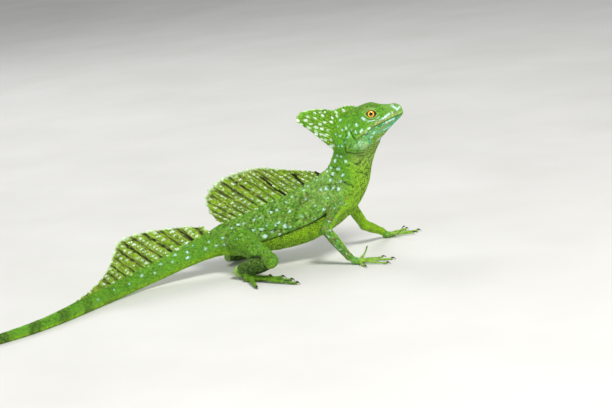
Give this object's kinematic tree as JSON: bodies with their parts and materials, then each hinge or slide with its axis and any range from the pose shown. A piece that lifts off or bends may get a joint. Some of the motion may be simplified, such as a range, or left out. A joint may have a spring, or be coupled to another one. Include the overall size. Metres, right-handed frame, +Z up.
{
  "type": "green basilisk lizard model",
  "caption": "Life-size still model of a male green basilisk standing with raised head, tall crests and its tail laid on the floor.",
  "frame": {"origin": "middle of the footprint's box, on the floor that the feet and the tail rest on", "axes": "+X the way the animal faces, +Y its left, +Z up"},
  "size_m": [0.6006, 0.2008, 0.1286],
  "materials": {
    "skin": "scaly green skin with pale blue-white spots, yellow-green belly, satin",
    "crest": "thin yellow-green skin over dark-edged rays, satin",
    "eye": "wet gloss, orange iris round a black pupil",
    "claw": "dark horn, smooth satin"
  },
  "bodies": {
    "root": {"head": "skin", "lower_jaw": "skin", "head_crest": "crest", "neck": "skin", "trunk": "skin", "back_crest": "crest", "tail_crest": "crest", "tail_1": "skin", "tail_2": "skin", "tail_3": "skin", "tail_4": "skin", "tail_5": "skin", "eye_right": "eye", "upper_arm_right": "skin", "forearm_right": "skin", "hand_right": "skin", "thigh_right": "skin", "shank_right": "skin", "foot_right": "skin", "claw_hand_right_1": "claw", "claw_hand_right_2": "claw", "claw_hand_right_3": "claw", "claw_hand_right_4": "claw", "claw_hand_right_5": "claw", "claw_foot_right_1": "claw", "claw_foot_right_2": "claw", "claw_foot_right_3": "claw", "claw_foot_right_4": "claw", "claw_foot_right_5": "claw", "eye_left": "eye", "upper_arm_left": "skin", "forearm_left": "skin", "hand_left": "skin", "thigh_left": "skin", "shank_left": "skin", "foot_left": "skin", "claw_hand_left_1": "claw", "claw_hand_left_2": "claw", "claw_hand_left_3": "claw", "claw_hand_left_4": "claw", "claw_hand_left_5": "claw", "claw_foot_left_1": "claw", "claw_foot_left_2": "claw", "claw_foot_left_3": "claw", "claw_foot_left_4": "claw", "claw_foot_left_5": "claw"}
  },
  "joints": []
}
